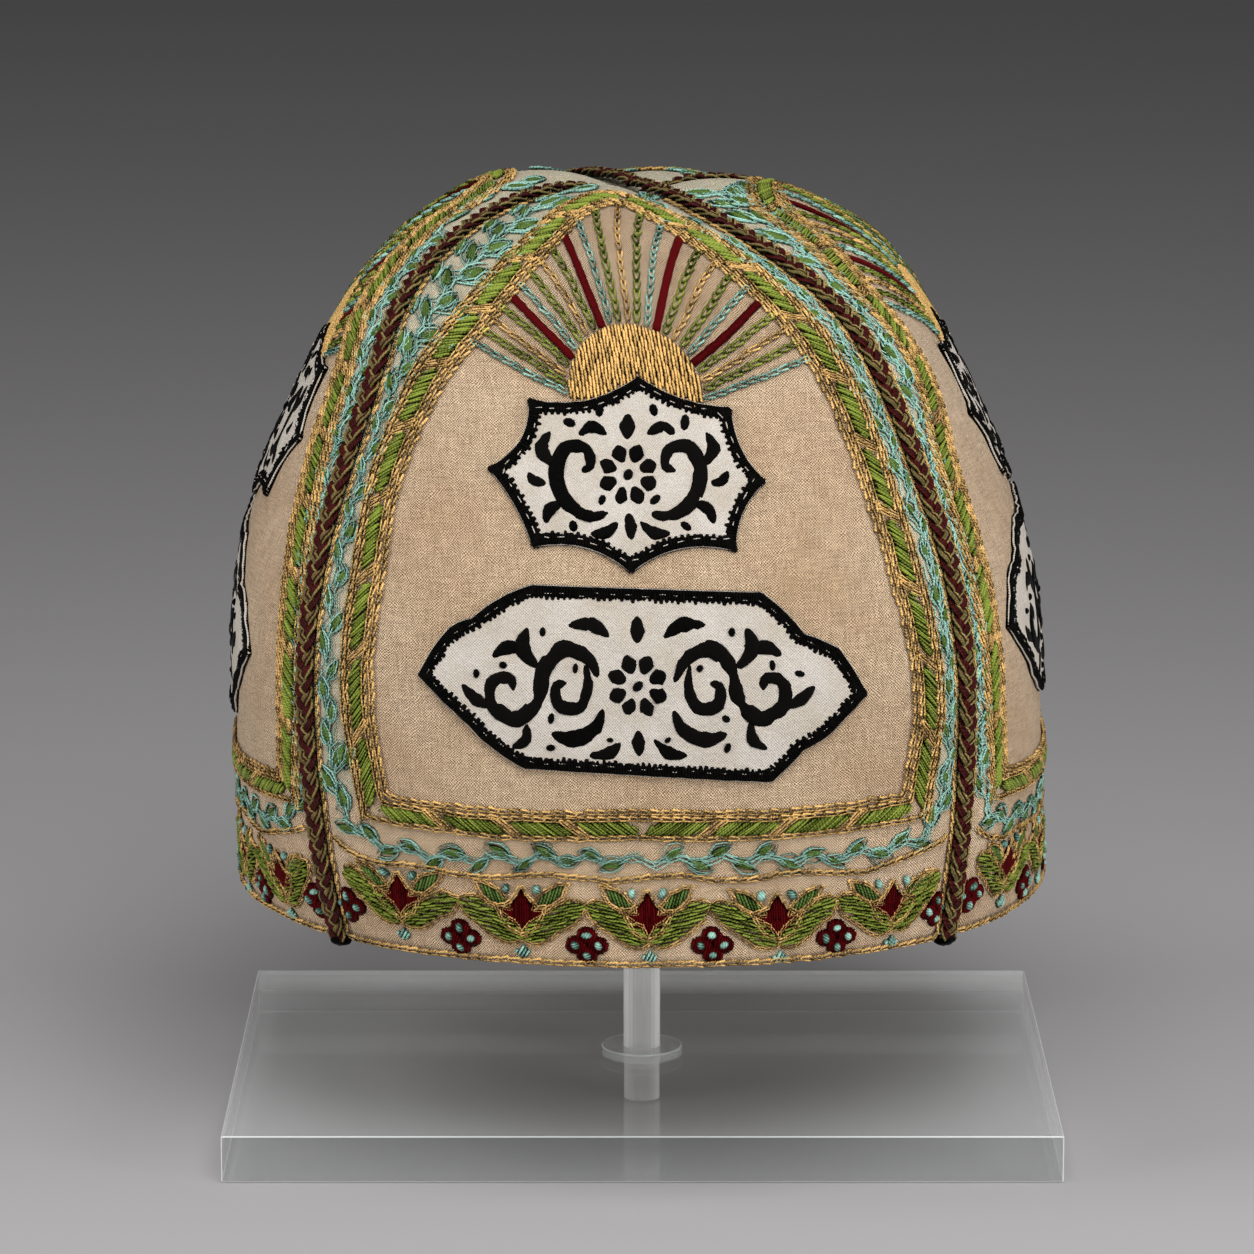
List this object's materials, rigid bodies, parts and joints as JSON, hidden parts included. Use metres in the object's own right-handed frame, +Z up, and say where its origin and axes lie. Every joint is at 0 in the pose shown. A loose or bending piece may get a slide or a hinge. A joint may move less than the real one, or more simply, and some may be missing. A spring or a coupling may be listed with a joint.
{
  "type": "dervish cap on display stand",
  "caption": "Four-panel embroidered linen dervish cap with plaited seam braids and cut cotton patches, open below, on a clear plate and post stand.",
  "frame": {"origin": "on the underside of the stand's plate, on the axis of the post and the cap", "axes": "+Z up along the post, -Y to the front panel that the picture shows, +X to its right"},
  "size_m": [0.176, 0.1743, 0.2041],
  "materials": {
    "linen": "undyed plain-weave linen, quilted stiff",
    "patch_cotton": "bleached cotton, raw cut, edged with black thread",
    "braid_thread": "plaited maroon and olive cotton thread",
    "stitch_gold": "golden yellow silk chain stitch",
    "stitch_green": "leaf green silk satin stitch",
    "stitch_dark_green": "dark green silk satin stitch",
    "stitch_turquoise": "turquoise silk stem stitch",
    "stitch_maroon": "maroon silk satin stitch",
    "stitch_black": "black cotton buttonhole stitch",
    "clear_acrylic": "clear cast acrylic, polished"
  },
  "bodies": {
    "root": {"panel_front": "linen", "panel_right": "linen", "panel_back": "linen", "panel_left": "linen", "seam_braid_under": "braid_thread", "seam_braid_over": "braid_thread", "star_patch_front": "patch_cotton", "star_patch_right": "patch_cotton", "star_patch_back": "patch_cotton", "star_patch_left": "patch_cotton", "long_patch_front": "patch_cotton", "long_patch_right": "patch_cotton", "long_patch_back": "patch_cotton", "long_patch_left": "patch_cotton", "stand_plate": "clear_acrylic", "stand_post": "clear_acrylic", "stand_collar": "clear_acrylic"}
  },
  "joints": []
}
